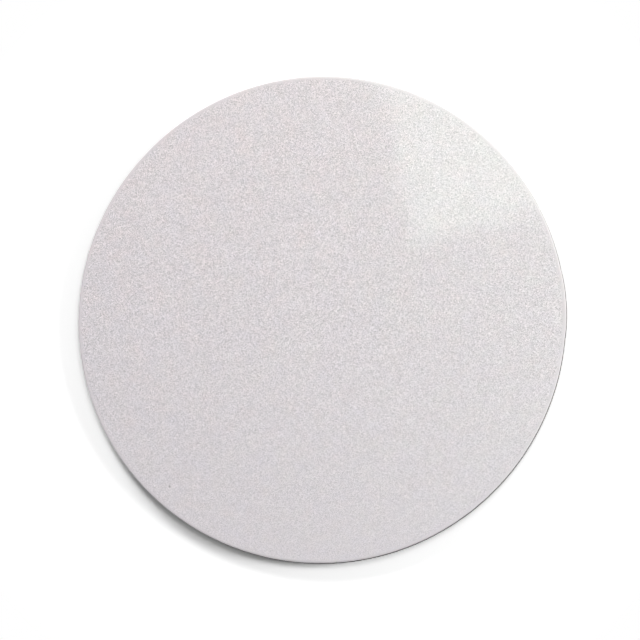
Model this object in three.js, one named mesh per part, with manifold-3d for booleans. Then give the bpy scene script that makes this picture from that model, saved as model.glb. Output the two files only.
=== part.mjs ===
// Round cake board: one disc of greyboard with a pearl-white film on its upper face, stamped
// out of a covered sheet by a steel cutting rule.
//
// Sizes are in millimetres and angles in degrees. The board lies flat with its film face up
// (+Z), its underside on Z = 0 and its axis on the Z axis. Angles run round from +X towards +Y.

import * as THREE from 'three';
import { mergeVertices } from 'three/addons/utils/BufferGeometryUtils.js';
import Module from 'manifold-3d';

// The blank
const boardDiameter = 254;
const boardThickness = 4;

// The cut edge. The rule drags the film down over the rim, spreads the board a little as it
// goes through, and crushes the corner where it comes out at the underside.
const rollWidth = 1;
const rollDrop = 0.25;
const cutSpread = 0.08;
const crushedCorner = 0.15;

// The swell of the edge where the two ends of the bent rule meet
const swellStart = -5;
const swellEnd = 11;
const swellHeight = 0.45;

// The scar across the rim where a last bridge to the sheet was torn through
const scarAngle = -86.6;
const scarWidth = 0.9;
const scarDepth = 0.35;

// Facets
const facetsRound = 180;
const rollDivisions = 2;
const scarFacets = 16;

const undersideRadius = boardDiameter / 2;
const rimRadius = undersideRadius - cutSpread;
const rimHeight = boardThickness - rollDrop;

const wasm = await Module();
wasm.setup();

// Radius of the arc that spans a chord's half width and rises to the given height.
function arcRadius(halfWidth, height) {
  return (halfWidth ** 2 + height ** 2) / (2 * height);
}

// Half section of the board, from the middle of the underside out to the crushed corner, up
// the cut edge, over the rolled rim and back in to the middle of the film face.
function halfSection() {
  const rollRadius = arcRadius(rollWidth, rollDrop);
  const rollTurn = Math.asin(rollWidth / rollRadius);
  const section = new THREE.Path();
  section.moveTo(0, 0);
  section.lineTo(undersideRadius - crushedCorner, 0);
  section.lineTo(undersideRadius, crushedCorner);
  section.lineTo(rimRadius, rimHeight);
  section.absarc(
    rimRadius - rollWidth,
    boardThickness - rollRadius,
    rollRadius,
    Math.PI / 2 - rollTurn,
    Math.PI / 2,
    false,
  );
  section.lineTo(0, boardThickness);
  return section.getPoints(rollDivisions);
}

// How far the cut edge stands out of true at an angle round the board. It steps out, runs
// nearly level and dies away.
function swellAt(angle) {
  const along = (angle - swellStart) / (swellEnd - swellStart);
  if (along <= 0 || along >= 1) {
    return 0;
  }
  return swellHeight * Math.sqrt(Math.sin(Math.PI * along));
}

// The stamped disc, turned from its half section, with the swell pushed out of its edge.
function stampedDisc() {
  const disc = new THREE.LatheGeometry(halfSection(), facetsRound);
  disc.rotateX(Math.PI / 2);
  const position = disc.getAttribute('position');
  for (let i = 0; i < position.count; i += 1) {
    const x = position.getX(i);
    const y = position.getY(i);
    const radius = Math.hypot(x, y);
    if (radius > 0) {
      const angle = THREE.MathUtils.radToDeg(Math.atan2(y, x));
      const stretch = 1 + swellAt(angle) / radius;
      position.setXY(i, x * stretch, y * stretch);
    }
  }
  return disc;
}

// A round cutter laid slantwise across the rim's corner, from the film face down to the cut
// edge, just deep enough to leave the scar's width and depth there.
function scarCutter() {
  const radius = arcRadius(scarWidth / 2, scarDepth);
  const length = 4 * scarDepth;
  const standOff = (radius - scarDepth) * Math.SQRT1_2;
  const cutter = new THREE.CylinderGeometry(radius, radius, length, scarFacets);
  cutter.rotateX(Math.PI / 2);
  cutter.rotateY(-Math.PI / 4);
  cutter.translate(rimRadius + swellAt(scarAngle) + standOff, 0, rimHeight + standOff);
  cutter.rotateZ(THREE.MathUtils.degToRad(scarAngle));
  return cutter;
}

// A closed geometry as a solid. Shared corners are welded, and the triangles that shrink to a
// line at the axis are left out.
function toSolid(geometry) {
  const bare = new THREE.BufferGeometry();
  bare.setAttribute('position', geometry.getAttribute('position'));
  bare.setIndex(geometry.getIndex());
  const welded = mergeVertices(bare);
  const corners = welded.getIndex().array;
  const kept = [];
  for (let i = 0; i < corners.length; i += 3) {
    const [a, b, c] = corners.slice(i, i + 3);
    if (a !== b && b !== c && c !== a) {
      kept.push(a, b, c);
    }
  }
  const mesh = new wasm.Mesh({
    numProp: 3,
    vertProperties: welded.getAttribute('position').array,
    triVerts: new Uint32Array(kept),
  });
  return new wasm.Manifold(mesh);
}

// A solid's surface as a geometry.
function toGeometry(solid) {
  const { vertProperties, triVerts } = solid.getMesh();
  const geometry = new THREE.BufferGeometry();
  geometry.setAttribute('position', new THREE.BufferAttribute(vertProperties, 3));
  geometry.setIndex(new THREE.BufferAttribute(triVerts, 1));
  geometry.computeVertexNormals();
  return geometry;
}

// Pearl-white film over greyboard
const pearlBoard = new THREE.MeshStandardMaterial({
  color: '#dcd7d9',
  roughness: 0.35,
  metalness: 0,
});

const scarredDisc = toSolid(stampedDisc()).subtract(toSolid(scarCutter()));
const cakeBoard = new THREE.Mesh(toGeometry(scarredDisc), pearlBoard);
cakeBoard.name = 'cake_board';

const group = new THREE.Group();
group.add(cakeBoard);

export default group;
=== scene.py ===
import math

import bpy
from mathutils import Matrix, Vector


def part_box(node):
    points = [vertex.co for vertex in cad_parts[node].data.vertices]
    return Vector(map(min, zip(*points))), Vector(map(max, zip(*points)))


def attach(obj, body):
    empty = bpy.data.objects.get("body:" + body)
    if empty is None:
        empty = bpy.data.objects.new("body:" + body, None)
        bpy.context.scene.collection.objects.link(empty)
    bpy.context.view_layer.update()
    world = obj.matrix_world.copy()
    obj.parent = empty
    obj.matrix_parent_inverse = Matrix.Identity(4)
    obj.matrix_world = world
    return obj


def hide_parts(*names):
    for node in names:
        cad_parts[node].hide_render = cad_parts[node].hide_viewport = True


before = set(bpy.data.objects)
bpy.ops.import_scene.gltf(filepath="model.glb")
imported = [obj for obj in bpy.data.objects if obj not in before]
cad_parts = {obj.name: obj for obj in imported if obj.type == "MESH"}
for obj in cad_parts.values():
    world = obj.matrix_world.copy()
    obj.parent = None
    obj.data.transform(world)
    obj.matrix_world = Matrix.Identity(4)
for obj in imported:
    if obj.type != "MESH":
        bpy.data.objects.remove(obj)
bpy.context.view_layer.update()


# Camera
# A long lens looks down on the face of the lying board, a few degrees off its axis towards the
# lower right, which is how the photograph looks at the face of the standing one.
millimetre = 0.001
frame_pixels = 640
board_low, board_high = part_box("cake_board")
board_radius = (board_high.y - board_low.y) / 2
board_thickness = board_high.z - board_low.z

board_centre_pixel = (322.0, 319.9)
board_radius_pixels = 244.8
tilt_off_axis = math.radians(8.0)
tilt_towards = math.radians(-47.8)
lens_mm = 1000.0
sensor_mm = 36.0

metres_per_pixel = board_radius / board_radius_pixels
camera_distance = frame_pixels * metres_per_pixel * lens_mm / sensor_mm
camera_back = Vector((
    math.sin(tilt_off_axis) * math.cos(tilt_towards),
    math.sin(tilt_off_axis) * math.sin(tilt_towards),
    math.cos(tilt_off_axis),
))
camera_right = Vector((0, 1, 0)).cross(camera_back).normalized()
camera_up = camera_back.cross(camera_right)
right_of_middle = (board_centre_pixel[0] - frame_pixels / 2) * metres_per_pixel
below_middle = (board_centre_pixel[1] - frame_pixels / 2) * metres_per_pixel
aim = Vector((0, 0, board_thickness / 2)) - camera_right * right_of_middle + camera_up * below_middle

camera_data = bpy.data.cameras.new("camera")
camera_data.lens = lens_mm
camera_data.sensor_width = sensor_mm
camera_data.clip_end = 2 * camera_distance
camera = bpy.data.objects.new("camera", camera_data)
bpy.context.scene.collection.objects.link(camera)
turn = Matrix((camera_right, camera_up, camera_back)).transposed().to_4x4()
camera.matrix_world = Matrix.Translation(aim + camera_back * camera_distance) @ turn
bpy.context.scene.camera = camera


# Cut edge
# The bare side of the greyboard where the rule went through: pressed layers of recycled
# fibre, dark neutral grey, matt and a little ragged, with the layers showing as faint lines.
def linear_colour(hex_colour):
    """An sRGB hex colour as the linear colour that a socket takes."""
    channels = [int(hex_colour[i:i + 2], 16) / 255 for i in (1, 3, 5)]
    linear = [c / 12.92 if c <= 0.04045 else ((c + 0.055) / 1.055) ** 2.4 for c in channels]
    return (*linear, 1.0)


def add_node(tree, kind, inputs, **settings):
    """Adds a node with these settings, and links or sets each input named."""
    made = tree.nodes.new(kind)
    for name, value in settings.items():
        setattr(made, name, value)
    for key, value in inputs.items():
        if isinstance(value, bpy.types.NodeSocket):
            tree.links.new(value, made.inputs[key])
        else:
            made.inputs[key].default_value = value
    return made


def new_material(name):
    """An empty material with its tree and its output node."""
    material = bpy.data.materials.new(name)
    material.use_nodes = True
    material.node_tree.nodes.clear()
    return material, material.node_tree, material.node_tree.nodes.new("ShaderNodeOutputMaterial")


# Rule-cut greyboard: a dull grey that darkens in the gaps between its layers. A wave texture
# repeats 20 times per unit at scale 1, so a twentieth over the layer's height sets its scale.
ply_height = 0.5 * millimetre
fibre_length = 0.6 * millimetre
cut_relief = 0.08 * millimetre
cut_greyboard, tree, output = new_material("rule_cut_greyboard")
place = add_node(tree, "ShaderNodeTexCoord", {})
plies = add_node(tree, "ShaderNodeTexWave", {
    "Vector": place.outputs["Object"],
    "Scale": 1 / (20 * ply_height),
    "Distortion": 1.5,
    "Detail": 3.0,
}, bands_direction="Z")
fibres = add_node(tree, "ShaderNodeTexNoise", {
    "Vector": place.outputs["Object"],
    "Scale": 1 / fibre_length,
    "Detail": 4.0,
})
mottle = add_node(tree, "ShaderNodeMix", {
    0: 0.5, 2: plies.outputs["Fac"], 3: fibres.outputs["Fac"],
}, data_type="FLOAT")
grey = add_node(tree, "ShaderNodeMix", {
    0: mottle.outputs[0],
    6: linear_colour("#464544"),
    7: linear_colour("#6d6c69"),
}, data_type="RGBA")
ragged = add_node(tree, "ShaderNodeBump", {
    "Strength": 0.6, "Distance": cut_relief, "Height": mottle.outputs[0],
})
surface = add_node(tree, "ShaderNodeBsdfPrincipled", {
    "Base Color": grey.outputs[2],
    "Roughness": 0.9,
    "Specular IOR Level": 0.2,
    "Normal": ragged.outputs["Normal"],
})
tree.links.new(surface.outputs[0], output.inputs["Surface"])


# Film face
# A thin plastic film, printed with white pearl pigment, embossed with a fine grain and glued
# on the greyboard. The rule presses its edge smooth and rolls it over the rim.

# Pearl-laminated film: the grain sparkles, and its sparkle is painted fainter towards the bottom,
# where the light picks it out less. The pigment tints it pink and lavender in patches, and a
# painted lean towards the left and lower left stands in for the pearl's shimmer under this light.
# The clear skin mirrors the softbox in slow waves. The real grain is about 0.15 mm, too fine to
# show, so it is drawn twice as coarse.
grain_pitch = 0.29 * millimetre
grain_contrast = 0.78
grain_relief = 0.07 * millimetre
painted_sparkle_at_bottom = 0.5
pink_patch = 7 * millimetre
lavender_patch = 9 * millimetre
pressed_band = 2.2 * millimetre
wave_length = 45 * millimetre
wave_relief = 0.4 * millimetre
speck_place = (-79.2 * millimetre, -86.3 * millimetre, board_thickness)
speck_radius = 0.45 * millimetre
speck_shade = 0.6
pearl_film, tree, output = new_material("pearl_laminated_film")
place = add_node(tree, "ShaderNodeTexCoord", {})
axes = add_node(tree, "ShaderNodeSeparateXYZ", {0: place.outputs["Object"]})
in_plan = add_node(tree, "ShaderNodeCombineXYZ", {0: axes.outputs[0], 1: axes.outputs[1]})
from_axis = add_node(tree, "ShaderNodeVectorMath", {0: in_plan.outputs[0]}, operation="LENGTH")
grained = add_node(tree, "ShaderNodeMapRange", {
    0: from_axis.outputs["Value"],
    1: board_radius - pressed_band,
    2: board_radius - pressed_band / 2,
    3: 1.0,
    4: 0.0,
})
# Painted sparkle fall-off: the grain's shade and relief fade to half at the lower rim, standing in
# for the sparkle that the light picks out less there. The pressed band at the rim is real.
painted_sparkle_falloff = add_node(tree, "ShaderNodeMapRange", {
    0: axes.outputs[1], 1: -board_radius, 2: 0.0, 3: painted_sparkle_at_bottom, 4: 1.0,
})
pressed_grain_and_painted_sparkle = add_node(tree, "ShaderNodeMath", {
    0: grained.outputs[0], 1: painted_sparkle_falloff.outputs[0],
}, operation="MULTIPLY")


def tint_share(patch_size, side, painted_lean):
    """How much of a tint shows at each place: cloudy patches, and a painted lean towards one side
    that stands in for the pearl's shimmer.
    """
    patches = add_node(tree, "ShaderNodeTexNoise", {
        "Vector": place.outputs["Object"], "Scale": 1 / patch_size, "Detail": 3.0,
    })
    along = add_node(tree, "ShaderNodeVectorMath", {
        0: place.outputs["Object"], 1: Vector(side) / board_radius,
    }, operation="DOT_PRODUCT")
    leaning = add_node(tree, "ShaderNodeMath", {
        0: along.outputs["Value"], 1: painted_lean, 2: patches.outputs["Fac"],
    }, operation="MULTIPLY_ADD")
    share = add_node(tree, "ShaderNodeMapRange", {0: leaning.outputs[0]})
    return share.outputs[0]


# The patches are the film's own tint. The lean of pink to the left and lavender to the lower left is
# painted shimmer, the pearl's tint at this angle of light.
pinkish = add_node(tree, "ShaderNodeMix", {
    0: tint_share(pink_patch, (-0.9, 0.4, 0.0), 0.28),
    6: linear_colour("#dfdedc"),
    7: linear_colour("#e9dcdd"),
}, data_type="RGBA")
tint = add_node(tree, "ShaderNodeMix", {
    0: tint_share(lavender_patch, (-0.6, -0.8, 0.0), 0.2),
    6: pinkish.outputs[2],
    7: linear_colour("#e0dbe1"),
}, data_type="RGBA")

flakes = add_node(tree, "ShaderNodeTexVoronoi", {
    "Vector": place.outputs["Object"], "Scale": 1 / grain_pitch,
})
flake_shade = add_node(tree, "ShaderNodeSeparateColor", {0: flakes.outputs["Color"]})
about_zero = add_node(tree, "ShaderNodeMath", {
    0: flake_shade.outputs[0], 1: 0.5,
}, operation="SUBTRACT")
contrast = add_node(tree, "ShaderNodeMath", {
    0: pressed_grain_and_painted_sparkle.outputs[0], 1: grain_contrast,
}, operation="MULTIPLY")
shade = add_node(tree, "ShaderNodeMath", {
    0: about_zero.outputs[0], 1: contrast.outputs[0], 2: 1.0,
}, operation="MULTIPLY_ADD")
from_speck = add_node(tree, "ShaderNodeVectorMath", {
    0: place.outputs["Object"], 1: speck_place,
}, operation="DISTANCE")
speck = add_node(tree, "ShaderNodeMapRange", {
    0: from_speck.outputs["Value"], 1: speck_radius, 2: 1.5 * speck_radius, 3: speck_shade, 4: 1.0,
})
specked_shade = add_node(tree, "ShaderNodeMath", {
    0: shade.outputs[0], 1: speck.outputs[0],
}, operation="MULTIPLY")
pearl = add_node(tree, "ShaderNodeVectorMath", {
    0: tint.outputs[2], "Scale": specked_shade.outputs[0],
}, operation="SCALE")

grain = add_node(tree, "ShaderNodeTexNoise", {
    "Vector": place.outputs["Object"], "Scale": 1 / grain_pitch, "Detail": 1.0,
})
emboss = add_node(tree, "ShaderNodeBump", {
    "Strength": pressed_grain_and_painted_sparkle.outputs[0], "Distance": grain_relief, "Height": grain.outputs["Fac"],
})
waves = add_node(tree, "ShaderNodeTexNoise", {
    "Vector": place.outputs["Object"], "Scale": 1 / wave_length, "Detail": 2.0,
})
skin = add_node(tree, "ShaderNodeBump", {
    "Strength": 0.3, "Distance": wave_relief, "Height": waves.outputs["Fac"],
})
surface = add_node(tree, "ShaderNodeBsdfPrincipled", {
    "Base Color": pearl.outputs[0],
    "Roughness": 0.45,
    "Coat Weight": 1.0,
    "Coat Roughness": 0.05,
    "Normal": emboss.outputs["Normal"],
    "Coat Normal": skin.outputs["Normal"],
})
tree.links.new(surface.outputs[0], output.inputs["Surface"])


# Lining
# Plain white paper glued on the underside, so that the board doesn't curl. The board lies on
# it, so it is seen only from below.

# Uncoated lining paper: matt off-white with a faint cloudy formation.
cloud_size = 4 * millimetre
paper_tooth = 0.05 * millimetre
lining_paper, tree, output = new_material("uncoated_lining_paper")
place = add_node(tree, "ShaderNodeTexCoord", {})
clouds = add_node(tree, "ShaderNodeTexNoise", {
    "Vector": place.outputs["Object"], "Scale": 1 / cloud_size, "Detail": 6.0,
})
paper = add_node(tree, "ShaderNodeMix", {
    0: clouds.outputs["Fac"],
    6: linear_colour("#d5d3cf"),
    7: linear_colour("#e3e1dd"),
}, data_type="RGBA")
tooth = add_node(tree, "ShaderNodeBump", {
    "Strength": 0.3, "Distance": paper_tooth, "Height": clouds.outputs["Fac"],
})
surface = add_node(tree, "ShaderNodeBsdfPrincipled", {
    "Base Color": paper.outputs[2],
    "Roughness": 0.85,
    "Specular IOR Level": 0.3,
    "Normal": tooth.outputs["Normal"],
})
tree.links.new(surface.outputs[0], output.inputs["Surface"])


# Scar
# The place on the rim where a last bridge to the sheet was torn. The film and the pressed edge
# are gone there, and loose pale fibre shows.

# Torn board fibre: paler than the pressed cut edge, because the fibres stand up and scatter,
# and lifted paler still as painted light, so that the scar reads light though it lies in shade.
torn_fibre, tree, output = new_material("torn_board_fibre")
place = add_node(tree, "ShaderNodeTexCoord", {})
fluff = add_node(tree, "ShaderNodeTexNoise", {
    "Vector": place.outputs["Object"], "Scale": 2 / fibre_length, "Detail": 4.0,
})
# Partly painted light: these pale colours are lifted to outweigh the shade the scar sits in.
pale = add_node(tree, "ShaderNodeMix", {
    0: fluff.outputs["Fac"],
    6: linear_colour("#c6c4c0"),
    7: linear_colour("#f2f0ec"),
}, data_type="RGBA")
surface = add_node(tree, "ShaderNodeBsdfPrincipled", {
    "Base Color": pale.outputs[2],
    "Roughness": 0.95,
    "Specular IOR Level": 0.2,
})
tree.links.new(surface.outputs[0], output.inputs["Surface"])


# Board
# The whole stamped disc in one piece: its half section is swept round, the swell is pushed
# out where the rule's ends met, and the torn scar is cut across the rim.
roll_width = 1.0 * millimetre
roll_drop = 0.25 * millimetre
cut_spread = 0.08 * millimetre
crushed_corner = 0.15 * millimetre
swell_start = math.radians(-5)
swell_end = math.radians(11)
swell_height = 0.45 * millimetre
scar_angle = math.radians(-86.6)
scar_width = 0.9 * millimetre
scar_depth = 0.35 * millimetre
ragged_depth = 0.06 * millimetre
shading_ring = 0.4 * millimetre
weld_distance = 0.05 * millimetre
wall_rows = 10
roll_rows = 8
facets_round = 1440
scar_facets = 24
film_upright = 0.85
scar_upright = 0.2
lining_upright = -0.9
corner_fold = math.radians(20)

rim_radius = board_radius - cut_spread
rim_height = board_thickness - roll_drop


def arc_radius(half_width, height):
    """Radius of the arc that spans a chord's half width and rises to this height."""
    return (half_width ** 2 + height ** 2) / (2 * height)


def half_section():
    """Radius and height of each point from the film's middle out, down and back in below."""
    points = [(0, board_thickness), (rim_radius - roll_width - shading_ring, board_thickness)]
    arc = arc_radius(roll_width, roll_drop)
    whole_turn = math.asin(roll_width / arc)
    for row in range(roll_rows):
        turn = whole_turn * row / roll_rows
        points.append((
            rim_radius - roll_width + arc * math.sin(turn),
            board_thickness - arc + arc * math.cos(turn),
        ))
    for row in range(wall_rows + 1):
        share = row / wall_rows
        points.append((
            rim_radius + cut_spread * share,
            rim_height + (crushed_corner - rim_height) * share,
        ))
    points.append((board_radius - crushed_corner, 0))
    points.append((board_radius - crushed_corner - shading_ring, 0))
    points.append((0, 0))
    return points


section = half_section()
section_mesh = bpy.data.meshes.new("cake_board_dressed")
section_mesh.from_pydata(
    [(radius - board_radius, -height, 0) for radius, height in section],
    [(i, i + 1) for i in range(len(section) - 1)],
    [],
)
board = bpy.data.objects.new("cake_board_dressed", section_mesh)
bpy.context.scene.collection.objects.link(board)

sweep = bpy.data.node_groups.new("swept_board", "GeometryNodeTree")
sweep.is_modifier = True
sizes = {
    "Edge Radius": board_radius,
    "Swell Start": swell_start,
    "Swell End": swell_end,
    "Swell Height": swell_height,
    "Ragged Depth": ragged_depth,
    "Fibre Length": fibre_length,
    "Rim Height": rim_height,
}
sweep.interface.new_socket("Section", in_out="INPUT", socket_type="NodeSocketGeometry")
sweep.interface.new_socket("Board", in_out="OUTPUT", socket_type="NodeSocketGeometry")
size_sockets = {
    name: sweep.interface.new_socket(name, in_out="INPUT", socket_type="NodeSocketFloat")
    for name in sizes
}
given = sweep.nodes.new("NodeGroupInput").outputs

outline = add_node(sweep, "GeometryNodeCurvePrimitiveCircle", {
    "Resolution": facets_round, "Radius": given["Edge Radius"],
})
profile = add_node(sweep, "GeometryNodeMeshToCurve", {"Mesh": given["Section"]})
swept = add_node(sweep, "GeometryNodeCurveToMesh", {
    "Curve": outline.outputs[0], "Profile Curve": profile.outputs[0],
})
closed = add_node(sweep, "GeometryNodeMergeByDistance", {
    "Geometry": swept.outputs[0], "Distance": weld_distance,
})

where = add_node(sweep, "GeometryNodeInputPosition", {})
axes = add_node(sweep, "ShaderNodeSeparateXYZ", {0: where.outputs[0]})
angle = add_node(sweep, "ShaderNodeMath", {
    0: axes.outputs[1], 1: axes.outputs[0],
}, operation="ARCTAN2")
along = add_node(sweep, "ShaderNodeMapRange", {
    0: angle.outputs[0], 1: given["Swell Start"], 2: given["Swell End"], 3: 0.0, 4: math.pi,
})
arch = add_node(sweep, "ShaderNodeMath", {0: along.outputs[0]}, operation="SINE")
flank = add_node(sweep, "ShaderNodeMath", {0: arch.outputs[0], 1: 0.5}, operation="POWER")
swell = add_node(sweep, "ShaderNodeMath", {
    0: flank.outputs[0], 1: given["Swell Height"],
}, operation="MULTIPLY")

fibre_scale = add_node(sweep, "ShaderNodeMath", {
    0: 1.0, 1: given["Fibre Length"],
}, operation="DIVIDE")
torn = add_node(sweep, "ShaderNodeTexNoise", {
    "Vector": where.outputs[0], "Scale": fibre_scale.outputs[0], "Detail": 2.0,
})
below_rim = add_node(sweep, "FunctionNodeCompare", {
    0: axes.outputs[2], 1: given["Rim Height"],
}, operation="LESS_THAN")
off_floor = add_node(sweep, "FunctionNodeCompare", {
    0: axes.outputs[2], 1: weld_distance,
}, operation="GREATER_THAN")
on_cut = add_node(sweep, "FunctionNodeBooleanMath", {
    0: below_rim.outputs[0], 1: off_floor.outputs[0],
}, operation="AND")
pit = add_node(sweep, "ShaderNodeMath", {
    0: torn.outputs["Fac"], 1: given["Ragged Depth"],
}, operation="MULTIPLY")
pit_on_cut = add_node(sweep, "ShaderNodeMath", {
    0: pit.outputs[0], 1: on_cut.outputs[0],
}, operation="MULTIPLY")
push = add_node(sweep, "ShaderNodeMath", {
    0: swell.outputs[0], 1: pit_on_cut.outputs[0],
}, operation="SUBTRACT")

in_plan = add_node(sweep, "ShaderNodeCombineXYZ", {0: axes.outputs[0], 1: axes.outputs[1]})
outwards = add_node(sweep, "ShaderNodeVectorMath", {0: in_plan.outputs[0]}, operation="NORMALIZE")
shift = add_node(sweep, "ShaderNodeVectorMath", {
    0: outwards.outputs[0], "Scale": push.outputs[0],
}, operation="SCALE")
shaped = add_node(sweep, "GeometryNodeSetPosition", {
    "Geometry": closed.outputs[0], "Offset": shift.outputs[0],
})

cutter_radius = arc_radius(scar_width / 2, scar_depth)
stand_off = (cutter_radius - scar_depth) * math.sqrt(0.5)
cutter = add_node(sweep, "GeometryNodeMeshCylinder", {
    "Vertices": scar_facets, "Radius": cutter_radius, "Depth": 4 * scar_depth,
})
cutter_place = (
    (rim_radius + stand_off) * math.cos(scar_angle),
    (rim_radius + stand_off) * math.sin(scar_angle),
    rim_height + stand_off,
)
placed_cutter = add_node(sweep, "GeometryNodeTransform", {
    "Geometry": cutter.outputs[0],
    "Translation": cutter_place,
    "Rotation": (0, math.radians(-45), scar_angle),
})
scarred = add_node(sweep, "GeometryNodeMeshBoolean", {
    "Mesh 1": shaped.outputs[0], "Mesh 2": placed_cutter.outputs[0],
}, operation="DIFFERENCE", solver="MANIFOLD")

normal = add_node(sweep, "GeometryNodeInputNormal", {})
facing = add_node(sweep, "ShaderNodeSeparateXYZ", {0: normal.outputs[0]})
is_slanted = add_node(sweep, "FunctionNodeCompare", {
    0: facing.outputs[2], 1: scar_upright,
}, operation="GREATER_THAN")
is_film = add_node(sweep, "FunctionNodeCompare", {
    0: facing.outputs[2], 1: film_upright,
}, operation="GREATER_THAN")
is_lining = add_node(sweep, "FunctionNodeCompare", {
    0: facing.outputs[2], 1: lining_upright,
}, operation="LESS_THAN")
fold = add_node(sweep, "GeometryNodeInputMeshEdgeAngle", {})
is_corner = add_node(sweep, "FunctionNodeCompare", {
    0: fold.outputs[0], 1: corner_fold,
}, operation="GREATER_THAN")
is_smooth = add_node(sweep, "FunctionNodeBooleanMath", {0: is_corner.outputs[0]}, operation="NOT")
rounded = add_node(sweep, "GeometryNodeSetShadeSmooth", {
    "Geometry": scarred.outputs[0], "Shade Smooth": is_smooth.outputs[0],
}, domain="EDGE")
whole = add_node(sweep, "GeometryNodeRealizeInstances", {"Geometry": rounded.outputs[0]})
finished = whole
for material, chosen in (
    (cut_greyboard, True),
    (torn_fibre, is_slanted.outputs[0]),
    (pearl_film, is_film.outputs[0]),
    (lining_paper, is_lining.outputs[0]),
):
    finished = add_node(sweep, "GeometryNodeSetMaterial", {
        "Geometry": finished.outputs[0], "Selection": chosen, "Material": material,
    })
add_node(sweep, "NodeGroupOutput", {0: finished.outputs[0]})

modifier = board.modifiers.new("swept_board", "NODES")
modifier.node_group = sweep
for name, value in sizes.items():
    modifier[size_sockets[name].identifier] = value
evaluated = board.evaluated_get(bpy.context.evaluated_depsgraph_get())
board_mesh = bpy.data.meshes.new_from_object(evaluated)
board.modifiers.remove(modifier)
board.data = board_mesh
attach(board, "root")
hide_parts("cake_board")


# Floor
# A plain white studio floor, which keeps the board's shadow and runs out into pure white. It
# can be looked through from below, and lets light in to the underside that lies on it.
floor_half = 15.0
lit_radius = 0.165
white_radius = 0.22
floor_gap = 0.02 * millimetre
floor_mesh = bpy.data.meshes.new("floor")
floor_mesh.from_pydata(
    [(-floor_half, -floor_half, 0), (floor_half, -floor_half, 0),
     (floor_half, floor_half, 0), (-floor_half, floor_half, 0)],
    [],
    [(0, 1, 2, 3)],
)
floor = bpy.data.objects.new("floor", floor_mesh)
floor.location.z = -floor_gap
bpy.context.scene.collection.objects.link(floor)
white_floor, tree, output = new_material("white_studio_floor")
place = add_node(tree, "ShaderNodeTexCoord", {})
distance = add_node(tree, "ShaderNodeVectorMath", {0: place.outputs["Object"]}, operation="LENGTH")
run_out = add_node(tree, "ShaderNodeMapRange", {
    0: distance.outputs["Value"], 1: lit_radius, 2: white_radius,
}, interpolation_type="SMOOTHSTEP")
ray = add_node(tree, "ShaderNodeLightPath", {})
dull = add_node(tree, "ShaderNodeBsdfDiffuse", {"Color": linear_colour("#606060")})
white = add_node(tree, "ShaderNodeBsdfDiffuse", {"Color": linear_colour("#ffffff")})
extra = add_node(tree, "ShaderNodeBsdfDiffuse", {"Color": linear_colour("#c6c6c6")})
lit = add_node(tree, "ShaderNodeAddShader", {0: white.outputs[0], 1: extra.outputs[0]})
pure = add_node(tree, "ShaderNodeEmission", {"Color": linear_colour("#ffffff"), "Strength": 1.0})
seen = add_node(tree, "ShaderNodeMixShader", {
    0: run_out.outputs[0], 1: lit.outputs[0], 2: pure.outputs[0],
})
either = add_node(tree, "ShaderNodeMixShader", {
    0: ray.outputs["Is Camera Ray"], 1: dull.outputs[0], 2: seen.outputs[0],
})
face = add_node(tree, "ShaderNodeNewGeometry", {})
from_underside = add_node(tree, "ShaderNodeMath", {
    0: ray.outputs["Ray Length"], 1: 10 * floor_gap,
}, operation="LESS_THAN")
see_through = add_node(tree, "ShaderNodeMath", {
    0: face.outputs["Backfacing"], 1: from_underside.outputs[0],
}, operation="MAXIMUM")
clear = add_node(tree, "ShaderNodeBsdfTransparent", {})
one_way = add_node(tree, "ShaderNodeMixShader", {
    0: see_through.outputs[0], 1: either.outputs[0], 2: clear.outputs[0],
})
tree.links.new(one_way.outputs[0], output.inputs["Surface"])
floor_mesh.materials.append(white_floor)


# Light
# A large softbox hangs above the upper right, where the film mirrors its lower left corner. Two
# low lamps stand at the right and beyond the top left, and only the lower left is in both their
# shadows. The white room fills in the rest.
def add_lamp(name, place, side, watts):
    """A square lamp that shines along its own -Z."""
    data = bpy.data.lights.new(name, "AREA")
    data.size = side
    data.energy = watts
    lamp = bpy.data.objects.new(name, data)
    lamp.matrix_world = place
    lamp.visible_camera = False
    bpy.context.scene.collection.objects.link(lamp)
    return lamp


def add_side_lamp(name, azimuth, elevation, distance, side, level):
    """A lamp aimed at the board, which alone lights white paper there to this level."""
    azimuth = math.radians(azimuth)
    elevation = math.radians(elevation)
    centre = distance * Vector((
        math.cos(elevation) * math.cos(azimuth),
        math.cos(elevation) * math.sin(azimuth),
        math.sin(elevation),
    ))
    aimed = Matrix.Translation(centre) @ (-centre).to_track_quat("-Z", "Y").to_matrix().to_4x4()
    watts = level * (math.pi * distance) ** 2 / math.sin(elevation)
    lamp = add_lamp(name, aimed, side, watts)
    lamp.visible_glossy = False


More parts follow.
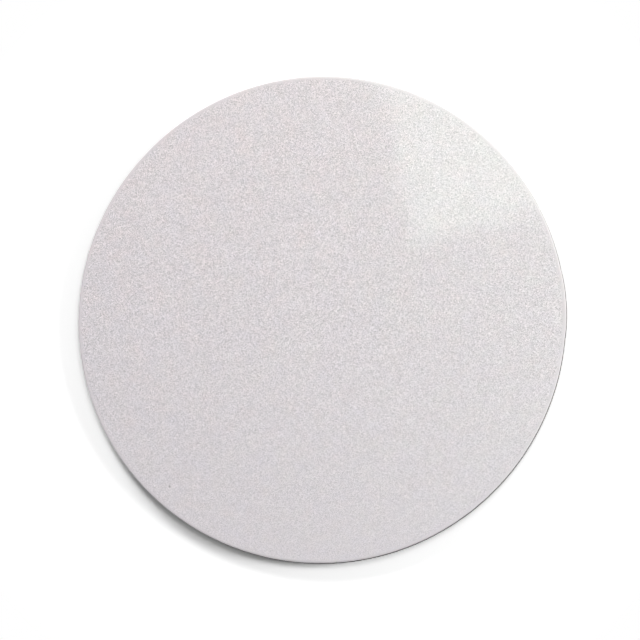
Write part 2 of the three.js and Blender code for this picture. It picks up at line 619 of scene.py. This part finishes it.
softbox_height = 1.0
softbox_side = 0.6
softbox_radiance = 2.5
softbox_corner_pixel = (428.0, 238.0)
softbox_spin = math.radians(12)
corner = Vector((
    (softbox_corner_pixel[0] - board_centre_pixel[0]) * metres_per_pixel
    - softbox_height * camera_back.x,
    (board_centre_pixel[1] - softbox_corner_pixel[1]) * metres_per_pixel
    - softbox_height * camera_back.y,
    softbox_height,
))
spun = Matrix.Rotation(softbox_spin, 4, "Z")
softbox_place = Matrix.Translation(corner) @ spun
softbox_place @= Matrix.Translation((softbox_side / 2, softbox_side / 2, 0))
softbox_watts = softbox_radiance * math.pi * softbox_side ** 2
softbox = add_lamp("softbox", softbox_place, softbox_side, softbox_watts)
softbox.visible_glossy = False

# The pearl pigment, which is pink by plain light, mirrors a lamp faintly green. So the film
# mirrors a tinted front that hangs just below the softbox and lights nothing.
front_drop = Vector((0, 0, -0.02))
front_place = Matrix.Translation(front_drop) @ softbox_place
softbox_front = add_lamp("softbox_front", front_place, softbox_side, softbox_watts)
softbox_front.data.color = linear_colour("#e4ffec")[:3]
softbox_front.visible_diffuse = False

side_lamp_elevation = 13
side_lamp_level = 0.26
add_side_lamp("right_lamp", -3, side_lamp_elevation, 1.25, 0.42, side_lamp_level)
add_side_lamp("top_lamp", 118, side_lamp_elevation, 3.2, 1.1, side_lamp_level)

room_level = 0.21
below_level = 0.9
world = bpy.data.worlds.new("studio")
bpy.context.scene.world = world
world.use_nodes = True
tree = world.node_tree
tree.nodes.clear()
ray = add_node(tree, "ShaderNodeLightPath", {})
mirror_or_camera = add_node(tree, "ShaderNodeMath", {
    0: ray.outputs["Is Camera Ray"], 1: ray.outputs["Is Glossy Ray"],
}, operation="MAXIMUM")
way = add_node(tree, "ShaderNodeTexCoord", {})
way_axes = add_node(tree, "ShaderNodeSeparateXYZ", {0: way.outputs["Generated"]})
is_below = add_node(tree, "ShaderNodeMath", {
    0: way_axes.outputs[2], 1: 0.0,
}, operation="LESS_THAN")
fill = add_node(tree, "ShaderNodeMix", {
    0: is_below.outputs[0], 2: room_level, 3: below_level,
}, data_type="FLOAT")
room = add_node(tree, "ShaderNodeMix", {
    0: mirror_or_camera.outputs[0], 2: fill.outputs[0], 3: 1.0,
}, data_type="FLOAT")
sky = add_node(tree, "ShaderNodeBackground", {
    "Color": linear_colour("#ffffff"), "Strength": room.outputs[0],
})
add_node(tree, "ShaderNodeOutputWorld", {"Surface": sky.outputs[0]})

bpy.context.scene.view_settings.view_transform = "Standard"

bpy.context.view_layer.update()
